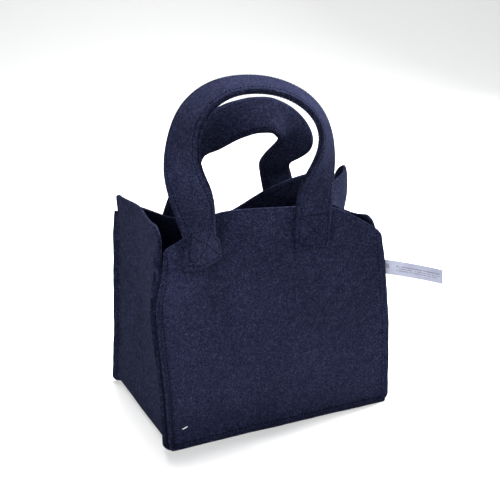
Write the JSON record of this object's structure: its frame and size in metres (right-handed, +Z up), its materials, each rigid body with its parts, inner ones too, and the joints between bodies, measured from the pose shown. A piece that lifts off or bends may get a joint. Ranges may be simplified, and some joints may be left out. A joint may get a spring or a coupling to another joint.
{
  "type": "knitting bag",
  "caption": "Small box-shaped felt project bag with outward seams, a waved rim, wide strap handles and a sewn-in side label.",
  "frame": {"origin": "centre of the base, on the surface that the bag stands on", "axes": "+Z up, the front panel faces -Y, +X to the right of a person who looks at the front"},
  "size_m": [0.2931, 0.1975, 0.3428],
  "materials": {
    "navy_felt": "melange needle felt",
    "navy_thread": "polyester sewing thread",
    "white_thread": "white sewing thread",
    "label_tape": "satin tape"
  },
  "bodies": {
    "body": {"front_panel": "navy_felt", "back_panel": "navy_felt", "gusset": "navy_felt", "front_seam_thread": "navy_thread", "back_seam_thread": "navy_thread", "front_handle_outer_ply_ends": "navy_felt", "front_handle_inner_ply_ends": "navy_felt", "rear_handle_outer_ply_ends": "navy_felt", "rear_handle_inner_ply_ends": "navy_felt", "front_left_box_stitch": "navy_thread", "front_right_box_stitch": "navy_thread", "rear_left_box_stitch": "navy_thread", "rear_right_box_stitch": "navy_thread", "white_tack_stitch": "white_thread"},
    "front_handle": {"front_handle_outer_ply": "navy_felt", "front_handle_inner_ply": "navy_felt", "front_handle_topstitching": "navy_thread"},
    "rear_handle": {"rear_handle_outer_ply": "navy_felt", "rear_handle_inner_ply": "navy_felt", "rear_handle_topstitching": "navy_thread"},
    "label": {"care_label": "label_tape"}
  },
  "joints": [
    {"name": "front_handle_fold", "type": "hinge", "parent": "body", "child": "front_handle", "pos_m": [-0.026, -0.0881, 0.229], "axis": [1, 0, 0], "range_deg": [-25, 155]},
    {"name": "rear_handle_fold", "type": "hinge", "parent": "body", "child": "rear_handle", "pos_m": [0.005, 0.0881, 0.229], "axis": [-1, 0, 0], "range_deg": [-5, 180]},
    {"name": "label_swing", "type": "hinge", "parent": "body", "child": "label", "pos_m": [0.1202, -0.07645, 0.1465], "axis": [0, 0, 1], "range_deg": [-48, 86]}
  ]
}
